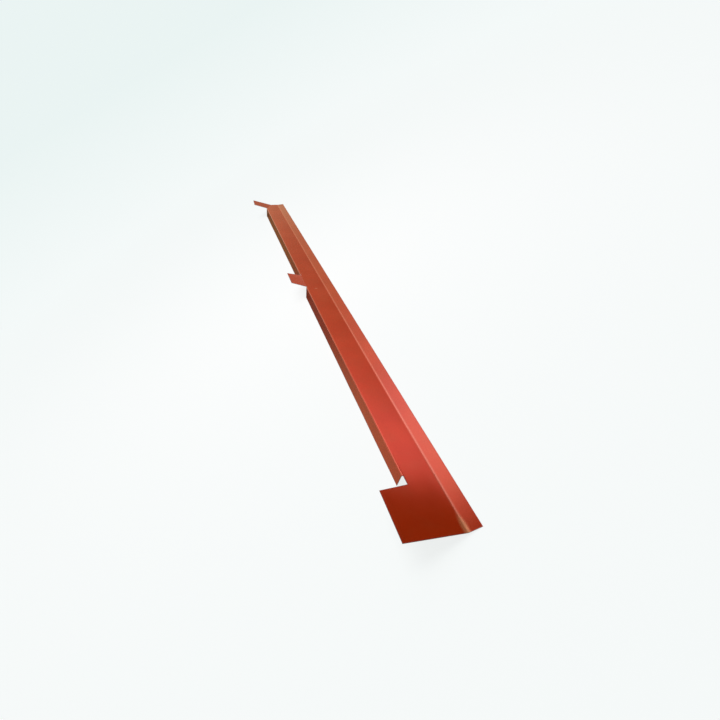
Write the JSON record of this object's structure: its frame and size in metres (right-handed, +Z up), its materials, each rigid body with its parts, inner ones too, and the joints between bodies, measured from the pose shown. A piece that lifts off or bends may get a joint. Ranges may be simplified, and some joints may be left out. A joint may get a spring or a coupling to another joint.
{
  "type": "front edge flashing",
  "caption": "Long folded strip of coated sheet steel with an upturned lip, a drip flange and projecting tabs, for covering the front edge of a roof.",
  "frame": {"origin": "middle of the footprint, on the floor the strip lies on", "axes": "+Y along the strip towards the end with the turned-up corner, +Z up, +X from the tabs towards the lip"},
  "size_m": [0.1054, 2, 0.0715],
  "materials": {
    "coated_steel": "satin"
  },
  "bodies": {
    "root": {"flashing": "coated_steel"}
  },
  "joints": []
}
